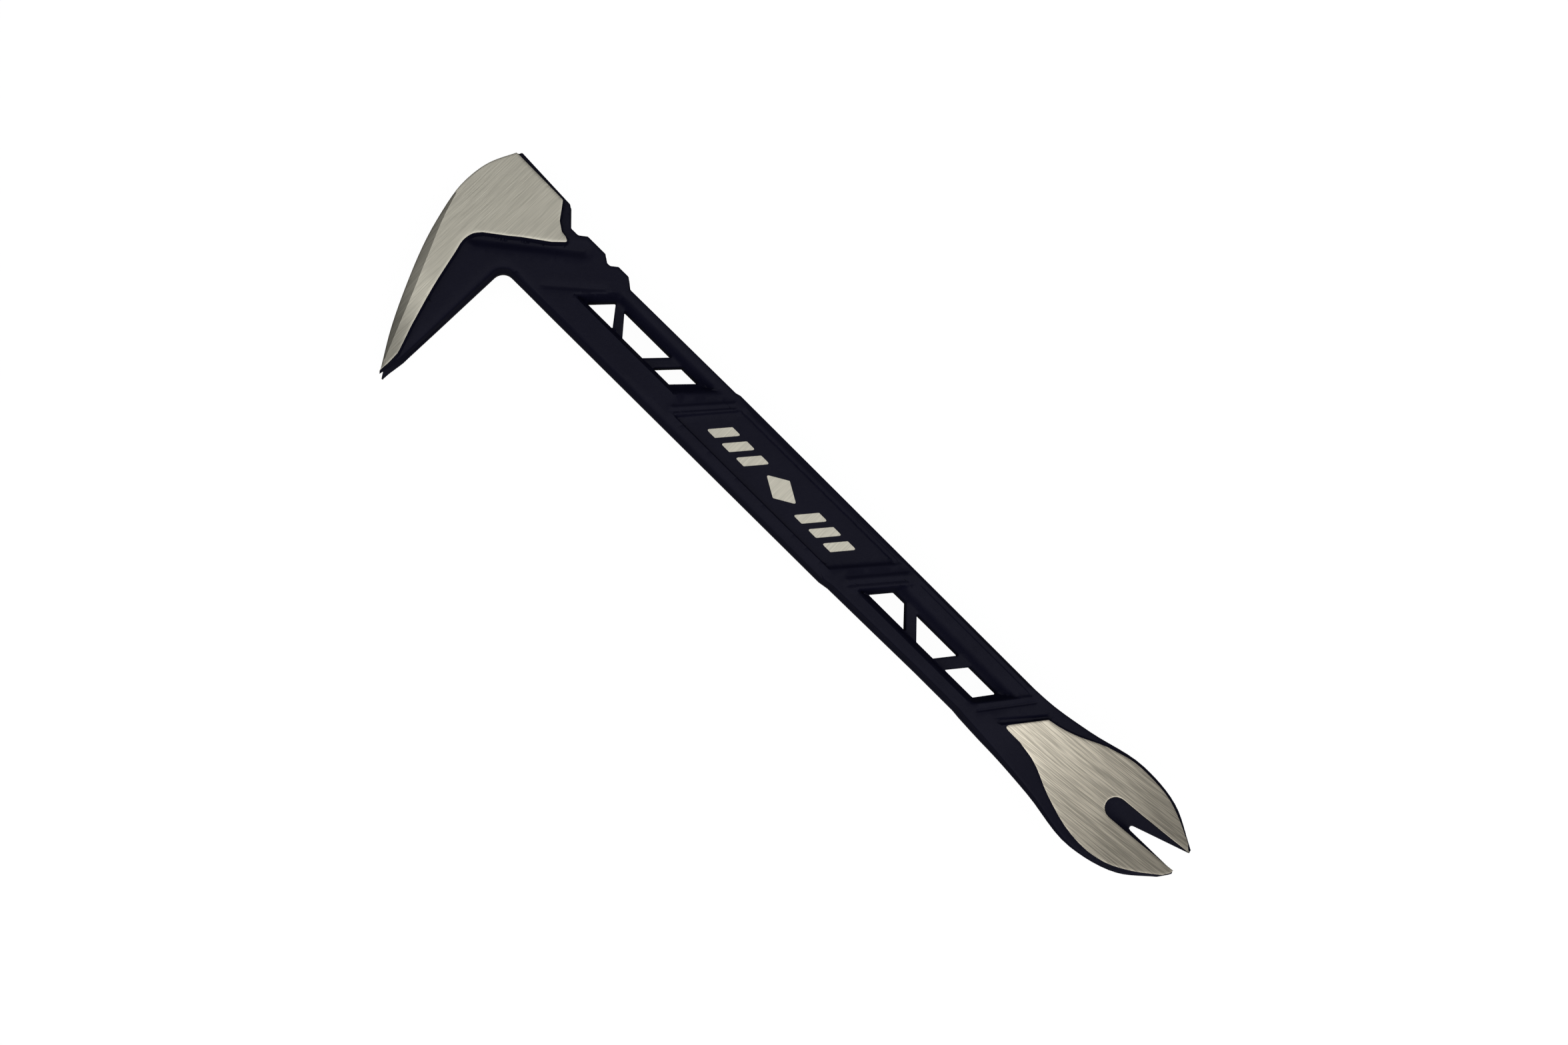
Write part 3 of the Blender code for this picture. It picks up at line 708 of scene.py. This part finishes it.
def inward_normals(edges):
    """At each point of a boundary, the direction into the sheet."""
    n = np.zeros_like(POINTS)
    for a, b, _ in edges:
        d = POINTS[b] - POINTS[a]
        d = np.array([-d[1], d[0]]) / max(np.hypot(*d), 1e-9)
        n[a] += d
        n[b] += d
    return unit(n)


RIM_EDGES = boundary(TRIANGLES)
INWARD = inward_normals(RIM_EDGES)
TO_HOLE = TO_WINDOW < ON_LINE
away = np.where((TO_EDGE < ON_LINE)[:, None], INWARD, unit(POINTS - EDGE_POINT))
TO_SLOT = distance_to(POINTS, SLOT)
draft = DRAFT * np.clip((FRONT_Z - BACK_Z) / (2 * SHANK_HALF), 0, 1)
draft *= np.clip(1 - TO_EDGE / DRAFT_REACH, 0, 1) ** 2
draft = np.where(TO_SLOT < DRAFT_REACH, 0, draft)
DRAWN_IN = away * draft[:, None]
FRONT_XY = POINTS + DRAWN_IN
BACK_XY = BACK_XY + DRAWN_IN


class Solid:
    """Vertices and faces gathered for one mesh, with points shared by key."""

    def __init__(self):
        self.place = {}
        self.vertices = []
        self.faces = []
        self.normals = []

    def vertex(self, key):
        if key not in self.place:
            self.place[key] = len(self.vertices)
            self.vertices.append(vertex_place(key))
        return self.place[key]

    def face(self, keys, normals=None):
        self.faces.append([self.vertex(k) for k in keys])
        self.normals.append(normals)


MIDDLE_RINGS = (0.25, 0.5, 0.75)
# The trimmed flash along the parting line: each ring's height and how far it stands out.
FLASH_RINGS = {
    "flash_a": (0.45, 0.0), "flash_b": (0.2, 0.14), "flash_c": (-0.2, 0.14), "flash_d": (-0.45, 0.0),
}


def vertex_place(key):
    """A vertex is named by its layer and its point of the sheet."""
    layer, k = key
    if layer == "front":
        xy, z = FRONT_XY[k], FRONT_Z[k]
    elif layer == "back":
        xy, z = BACK_XY[k], BACK_Z[k]
    elif layer == "slot_front":
        xy, z = POINTS[k], CLAW_SLOT_Z[k]
    elif layer == "slot_back":
        xy, z = POINTS[k], -CLAW_SLOT_Z[k]
    elif layer in FLASH_RINGS:
        share, proud = FLASH_RINGS[layer]
        half = (FRONT_Z[k] - BACK_Z[k]) / 2
        scale = min(1, half / SHANK_HALF)
        push = WINDOW_FLASH * proud if TO_HOLE[k] else proud
        xy, z = POINTS[k] - push * scale * INWARD[k], (FRONT_Z[k] + BACK_Z[k]) / 2 + share * scale
    else:
        xy = FRONT_XY[k] * (1 - layer) + BACK_XY[k] * layer
        z = FRONT_Z[k] * (1 - layer) + BACK_Z[k] * layer
    return tuple(np.array([*xy, z]) * MM + ORIGIN)


def column(k, top, bottom):
    """The vertices at one point of the rim, from top to bottom."""
    if top != "front" or bottom != "back":
        return [(top, k), (bottom, k)]
    middle = MIDDLE_RINGS if TO_SLOT[k] < ON_LINE else tuple(FLASH_RINGS)
    return [(top, k)] + [(layer, k) for layer in middle] + [(bottom, k)]


def layers_of(section):
    """The solids over a section's stretch of the sheet: name, top layer and bottom layer."""
    if section == "claw_tine":
        return ("claw_tine_front", "front", "slot_front"), ("claw_tine_back", "slot_back", "back")
    return ((str(section), "front", "back"),)


def wall_faces(a, b, top, bottom):
    """The wall under one edge of the sheet, seen from outside."""
    left, right = column(a, top, bottom), column(b, top, bottom)
    if len(left) != len(right):
        return [left + right[::-1]]
    return [[left[i], left[i + 1], right[i + 1], right[i]] for i in range(len(left) - 1)]


def skin():
    """Every face of the coated body's outside, with the section it belongs to."""
    faces = []
    for triangle, section in zip(TRIANGLES.tolist(), SECTIONS):
        for part, top, bottom in layers_of(section):
            faces.append(([(top, k) for k in triangle], part))
            faces.append(([(bottom, k) for k in reversed(triangle)], part))
    for a, b, owner in RIM_EDGES:
        for part, top, bottom in layers_of(SECTIONS[owner]):
            faces += [(f, part) for f in wall_faces(a, b, top, bottom)]
    return faces


def new_mesh(name, vertices, faces):
    mesh = bpy.data.meshes.new(name)
    mesh.from_pydata(vertices, [], faces)
    mesh.update()
    return mesh


COAT_SHARP, STEEL_SHARP = math.radians(38), math.radians(20)


def corner_normals(mesh):
    """The mesh's normals, smooth except across edges that turn more than COAT_SHARP."""
    mesh.shade_smooth()
    mesh.set_sharp_from_angle(angle=COAT_SHARP)
    flat = np.zeros(len(mesh.loops) * 3, np.float32)
    mesh.corner_normals.foreach_get("vector", flat)
    return flat.reshape(-1, 3)


def coated_sections():
    """One closed solid for each coated section, with the whole tool's normals, so that no seam shows."""
    faces = skin()
    whole = Solid()
    for keys, _ in faces:
        whole.face(keys)
    mesh = new_mesh("whole", whole.vertices, whole.faces)
    normals = corner_normals(mesh)
    starts = [p.loop_start for p in mesh.polygons]
    solids = {}
    for (keys, part), start in zip(faces, starts):
        solids.setdefault(part, Solid()).face(keys, normals[start:start + len(keys)])
    bpy.data.meshes.remove(mesh)

    rim = {(a, b) for a, b, _ in RIM_EDGES}
    for section in sorted(set(SECTIONS.tolist())):
        seams = [edge for edge in boundary(TRIANGLES[SECTIONS == section]) if edge[:2] not in rim]
        for part, top, bottom in layers_of(section):
            for a, b, _ in seams:
                solids[part].face(inner_column(a, top, bottom) + inner_column(b, top, bottom)[::-1])
    return solids


ON_RIM = np.zeros(len(POINTS), bool)
for a, b, _ in RIM_EDGES:
    ON_RIM[[a, b]] = True


def inner_column(k, top, bottom):
    """The vertices of a hidden wall: where it meets the rim it takes the rim's own column."""
    return column(k, top, bottom) if ON_RIM[k] else [(top, k), (bottom, k)]


def add_piece(name, mesh, material, nodes):
    piece = bpy.data.objects.new(name, mesh)
    bpy.context.scene.collection.objects.link(piece)
    mesh.materials.append(material)
    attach(piece, "root")
    if nodes:
        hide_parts(*nodes)


def coated_piece(name, solid, material):
    mesh = new_mesh(name, solid.vertices, solid.faces)
    for polygon, normals in zip(mesh.polygons, solid.normals):
        polygon.use_smooth = normals is not None
    corners = []
    for keys, normals in zip(solid.faces, solid.normals):
        corners += [(0, 0, 0)] * len(keys) if normals is None else [tuple(n) for n in normals]
    mesh.normals_split_custom_set(corners)
    add_piece(name + "_forged", mesh, material, [name])


def ground_piece(name, land, sides, mirror, material):
    """A ground face: a thin inlay with a worn rim, set into the recess in the coated sections."""
    triangles = TRIANGLES[LANDS[land]["triangles"]]
    edges = boundary(triangles)
    inward = inward_normals(edges)
    to_rim = LANDS[land]["to_rim"]
    used = sorted(set(triangles.ravel().tolist()))
    place = {k: i for i, k in enumerate(used)}
    count = len(used)
    top_z = GROUND_Z[used] - LAND_LIP * (1 - ease(to_rim[used] / LAND_RIM))
    low_z = GROUND_Z[used] - LAND_DEPTH + LAND_GAP
    top_xy = FRONT_XY[used]
    low_xy = top_xy + inward[used] * LAND_TAPER * (TO_EDGE[used] > ON_LINE)[:, None]
    flip = -1 if mirror else 1
    vertices = np.vstack([to_world(top_xy, flip * top_z), to_world(low_xy, flip * low_z)])
    faces = []
    for a, b, c in triangles.tolist():
        faces.append([place[a], place[b], place[c]])
        faces.append([count + place[c], count + place[b], count + place[a]])
    for a, b, _ in edges:
        faces.append([place[a], place[a] + count, place[b] + count, place[b]])
    if mirror:
        faces = [f[::-1] for f in faces]
    mesh = new_mesh(name, vertices.tolist(), faces)
    mesh.shade_smooth()
    mesh.set_sharp_from_angle(angle=STEEL_SHARP)
    add_piece(name + "_brushed", mesh, material, sides)


# ---------------------------------------------------------------- materials
def node_material(name):
    made = bpy.data.materials.new(name)
    made.use_nodes = True
    nodes, links = made.node_tree.nodes, made.node_tree.links
    return made, nodes, links, nodes["Principled BSDF"]


def mapped(nodes, links, scale, turn=0.0):
    """Object coordinates, turned about Z and scaled, for a texture."""
    where = nodes.new("ShaderNodeTexCoord")
    rotate = nodes.new("ShaderNodeMapping")
    rotate.inputs["Rotation"].default_value = (0, 0, turn)
    stretch = nodes.new("ShaderNodeMapping")
    stretch.inputs["Scale"].default_value = scale
    links.new(where.outputs["Object"], rotate.inputs["Vector"])
    links.new(rotate.outputs["Vector"], stretch.inputs["Vector"])
    return stretch.outputs["Vector"]


def noise(nodes, links, vector, scale, detail=3.0, roughness=0.5):
    made = nodes.new("ShaderNodeTexNoise")
    made.inputs["Scale"].default_value = scale
    made.inputs["Detail"].default_value = detail
    made.inputs["Roughness"].default_value = roughness
    links.new(vector, made.inputs["Vector"])
    return made.outputs["Fac"]


def ramp(nodes, links, value, stops):
    made = nodes.new("ShaderNodeValToRGB")
    elements = made.color_ramp.elements
    while len(elements) < len(stops):
        elements.new(0.5)
    for element, (position, colour) in zip(elements, stops):
        element.position = position
        element.color = (*colour, 1)
    links.new(value, made.inputs["Fac"])
    return made.outputs["Color"]


def spread(nodes, links, value, low, high):
    made = nodes.new("ShaderNodeMapRange")
    made.inputs["To Min"].default_value = low
    made.inputs["To Max"].default_value = high
    made.inputs["From Min"].default_value = 0.3
    made.inputs["From Max"].default_value = 0.7
    links.new(value, made.inputs["Value"])
    return made.outputs["Result"]


def bump(nodes, links, height, distance, strength, normal=None):
    made = nodes.new("ShaderNodeBump")
    made.inputs["Distance"].default_value = distance
    made.inputs["Strength"].default_value = strength
    links.new(height, made.inputs["Height"])
    if normal is not None:
        links.new(normal, made.inputs["Normal"])
    return made.outputs["Normal"]


def powder_coat():
    """Satin black powder coat with a navy cast: a fine orange peel over faint mottling."""
    made, nodes, links, shader = node_material("powder_coat")
    place = mapped(nodes, links, (1, 1, 1))
    mottle = noise(nodes, links, place, 90, 4)
    grain = noise(nodes, links, place, 1700, 3, 0.6)
    peel = noise(nodes, links, place, 520, 2)
    links.new(ramp(nodes, links, mottle, [(0.3, (0.0032, 0.0032, 0.0108)), (0.7, (0.0046, 0.0046, 0.0134))]),
              shader.inputs["Base Color"])
    links.new(spread(nodes, links, grain, 0.46, 0.58), shader.inputs["Roughness"])
    shader.inputs["Specular IOR Level"].default_value = 0.10
    fine = bump(nodes, links, grain, 0.00006, 0.6)
    links.new(bump(nodes, links, peel, 0.00012, 0.5, fine), shader.inputs["Normal"])
    return made


def ground_steel(name, grain_angle, steel, across, contrast):
    """Steel ground on a belt: long fine scratches and broader streaks along the grain."""
    made, nodes, links, shader = node_material(name)
    lines = mapped(nodes, links, (120, 4800, 60), grain_angle)
    broad = mapped(nodes, links, (90, across, 25), grain_angle)
    fine, wide = noise(nodes, links, lines, 1, 3, 0.6), noise(nodes, links, broad, 1, 2, 0.45)
    cloud = noise(nodes, links, mapped(nodes, links, (1, 1, 1)), 26, 2)
    low, high = 1 - contrast, 1 + contrast
    streaks = ramp(nodes, links, wide, [
        (0.38, tuple(c * low for c in steel)), (0.62, tuple(c * high for c in steel)),
    ])
    scratches = ramp(nodes, links, fine, [(0.3, (0.80, 0.80, 0.80)), (0.7, (1.0, 1.0, 1.0))])
    both = nodes.new("ShaderNodeMix")
    both.data_type = "RGBA"
    both.blend_type = "MULTIPLY"
    both.inputs["Factor"].default_value = 1
    links.new(streaks, both.inputs["A"])
    links.new(scratches, both.inputs["B"])
    links.new(both.outputs["Result"], shader.inputs["Base Color"])
    shader.inputs["Metallic"].default_value = 1
    links.new(spread(nodes, links, cloud, 0.30, 0.40), shader.inputs["Roughness"])
    shallow = bump(nodes, links, wide, 0.00005, 0.35)
    links.new(bump(nodes, links, fine, 0.00003, 0.55, shallow), shader.inputs["Normal"])
    return made


# ---------------------------------------------------------------- build the tool
COAT = powder_coat()
# The head's ground steel is given a darker colour than the tail's. That is painted shade standing in for the
# dimmer light on the head. The grain angles and streak contrasts are the steel's own.
STEEL_HEAD_PAINTED_SHADE = ground_steel("ground_steel_head_painted_shade", math.radians(90), (0.54, 0.518, 0.44), 2600, 0.07)
STEEL_TAIL = ground_steel("ground_steel_tail", math.radians(-4), (0.64, 0.588, 0.485), 3500, 0.25)

for part, solid in coated_sections().items():
    coated_piece(part, solid, COAT)
ground_piece("head_ground_face_front", "head", ["head_ground_face_front"], False, STEEL_HEAD_PAINTED_SHADE)
ground_piece("head_ground_face_back", "head", ["head_ground_face_back"], True, STEEL_HEAD_PAINTED_SHADE)
ground_piece("tail_ground_face", "tail", ["tail_ground_face"], False, STEEL_TAIL)


# ---------------------------------------------------------------- marks on the grip panel
MARK_LOW, MARK_HIGH = 7.6, 13.9
GROUP_STARTS, BARS = (107.8, 145.8), 3
BAR_WIDTH, BAR_PITCH = 3.8, 6.3
MARK_PROUD, MARK_SUNK = 0.06, 0.3
MARK_CORNER = 0.5
LOZENGE_X, LOZENGE_LONG, LOZENGE_TALL = 137.6, 6.5, 3.8


def marks():
    """Plain slanted bars on either side of a lozenge, bare steel on the coated panel."""
    shapes = []
    for first in GROUP_STARTS:
        for number in range(BARS):
            x = first + number * BAR_PITCH
            top = x + (MARK_HIGH - MARK_LOW) / LEAN
            shapes.append([
                (x, MARK_LOW), (x + BAR_WIDTH, MARK_LOW), (top + BAR_WIDTH, MARK_HIGH), (top, MARK_HIGH),
            ])
    middle = (MARK_LOW + MARK_HIGH) / 2
    shapes.append([
        (LOZENGE_X - LOZENGE_LONG, middle), (LOZENGE_X, middle - LOZENGE_TALL),
        (LOZENGE_X + LOZENGE_LONG, middle), (LOZENGE_X, middle + LOZENGE_TALL),
    ])
    vertices, faces = [], []
    for shape in shapes:
        outline = fillet(shape, MARK_CORNER, closed=True)
        start, count = len(vertices), len(outline)
        for z in (PANEL_HALF + MARK_PROUD, PANEL_HALF - MARK_SUNK):
            vertices += to_world(np.array(outline), np.full(count, z)).tolist()
        faces.append([start + i for i in range(count)])
        faces.append([start + count + i for i in reversed(range(count))])
        for i in range(count):
            j = (i + 1) % count
            faces.append([start + i, start + count + i, start + count + j, start + j])
    mesh = new_mesh("panel_marks", vertices, faces)
    # The marks use the head's steel copy, which carries that painted shade.
    add_piece("panel_marks", mesh, STEEL_HEAD_PAINTED_SHADE, [])


marks()


# ---------------------------------------------------------------- camera, floor and lights
def placed(x, y, z):
    return Vector(to_world(np.array([[x, y]]), np.array([z]))[0])


ROLL = math.radians(44.71)
FOCAL_LENGTH, SENSOR_WIDTH = 53.0, 36.0
CAMERA_AT, CAMERA_TO = placed(145.43, -106.9, 715.4), placed(145.43, 4.8, 0)
LOOK = (CAMERA_TO - CAMERA_AT).normalized()
ACROSS = Vector((1, 0, 0))
UPWARD = ACROSS.cross(LOOK)
IMAGE_RIGHT = ACROSS * math.cos(ROLL) + UPWARD * math.sin(ROLL)
IMAGE_UP = UPWARD * math.cos(ROLL) - ACROSS * math.sin(ROLL)


def camera():
    lens = bpy.data.cameras.new("camera")
    lens.lens = FOCAL_LENGTH
    lens.sensor_width = SENSOR_WIDTH
    made = bpy.data.objects.new("camera", lens)
    turned = Matrix((IMAGE_RIGHT, IMAGE_UP, -LOOK)).transposed().to_4x4()
    made.matrix_world = Matrix.Translation(CAMERA_AT) @ turned
    bpy.context.scene.collection.objects.link(made)
    bpy.context.scene.camera = made


FLOOR_REACH, FLOOR_HEIGHT = 6.0, -0.0005    # in metres
FLOOR_GLOW = 0.04, 0.97     # how brightly the floor shines on the tool, and for the camera


def floor():
    """A pale light table that the tool lies on."""
    corners = [(FLOOR_REACH * x, FLOOR_REACH * y, 0) for x, y in ((-1, -1), (1, -1), (1, 1), (-1, 1))]
    mesh = new_mesh("floor", corners, [[0, 1, 2, 3]])
    made, nodes, links, shader = node_material("floor_paper")
    tone = noise(nodes, links, mapped(nodes, links, (1, 1, 1)), 3, 2)
    links.new(ramp(nodes, links, tone, [(0.3, (0.05, 0.05, 0.05)), (0.7, (0.06, 0.06, 0.06))]),
              shader.inputs["Base Color"])
    shader.inputs["Emission Color"].default_value = (1, 1, 1, 1)
    path = nodes.new("ShaderNodeLightPath")
    glow = nodes.new("ShaderNodeMapRange")
    glow.inputs["To Min"].default_value, glow.inputs["To Max"].default_value = FLOOR_GLOW
    links.new(path.outputs["Is Camera Ray"], glow.inputs["Value"])
    links.new(glow.outputs["Result"], shader.inputs["Emission Strength"])
    shader.inputs["Roughness"].default_value = 1
    shader.inputs["Specular IOR Level"].default_value = 0
    mesh.materials.append(made)
    sheet = bpy.data.objects.new("floor", mesh)
    sheet.location.z = FLOOR_HEIGHT
    bpy.context.scene.collection.objects.link(sheet)


def softbox(name, direction, distance, size, power):
    """A square soft white light that faces the tool's middle."""
    light = bpy.data.lights.new(name, "AREA")
    light.shape = "SQUARE"
    light.size = size
    light.energy = power
    made = bpy.data.objects.new(name, light)
    direction = direction.normalized()
    made.location = CAMERA_TO + direction * distance
    made.rotation_mode = "QUATERNION"
    made.rotation_quaternion = direction.to_track_quat("Z", "Y")
    bpy.context.scene.collection.objects.link(made)


# Brightness of the surroundings from the head's side (0) to the side the hooked claw opens to (1).
WORLD_AXIS = (0.8, -0.6, 0)
WORLD_TONES = (
    (0.0, 0.42), (0.16, 0.17), (0.30, 0.26), (0.36, 0.36),
    (0.49, 1.65), (0.58, 1.65), (0.72, 0.7), (1.0, 0.5),
)
HORIZON_SHARE = 0.4     # the surroundings near the horizon have this share of the brightness overhead
HORIZON_RISE = 0.25, 0.55   # the Z of the directions between which they brighten


def studio():
    world = bpy.data.worlds.new("studio")
    world.use_nodes = True
    nodes, links = world.node_tree.nodes, world.node_tree.links
    where = nodes.new("ShaderNodeTexCoord")
    along = nodes.new("ShaderNodeVectorMath")
    along.operation = "DOT_PRODUCT"
    along.inputs[1].default_value = WORLD_AXIS
    links.new(where.outputs["Generated"], along.inputs[0])
    side = nodes.new("ShaderNodeMapRange")
    side.inputs["From Min"].default_value = -1
    links.new(along.outputs["Value"], side.inputs["Value"])
    tone = ramp(nodes, links, side.outputs["Result"], [(at, (level,) * 3) for at, level in WORLD_TONES])
    links.new(tone, nodes["Background"].inputs["Color"])
    upward = nodes.new("ShaderNodeVectorMath")
    upward.operation = "DOT_PRODUCT"
    upward.inputs[1].default_value = (0, 0, 1)
    links.new(where.outputs["Generated"], upward.inputs[0])
    dimmed = nodes.new("ShaderNodeMapRange")
    dimmed.inputs["From Min"].default_value, dimmed.inputs["From Max"].default_value = HORIZON_RISE
    dimmed.inputs["To Min"].default_value, dimmed.inputs["To Max"].default_value = HORIZON_SHARE, 1
    links.new(upward.outputs["Value"], dimmed.inputs["Value"])
    links.new(dimmed.outputs["Result"], nodes["Background"].inputs["Strength"])
    bpy.context.scene.world = world
    near = -LOOK
    softbox("key_below", near * 0.45 - IMAGE_UP, 1.4, 1.6, 7)
    bpy.context.scene.view_settings.view_transform = "Standard"


camera()
floor()
studio()
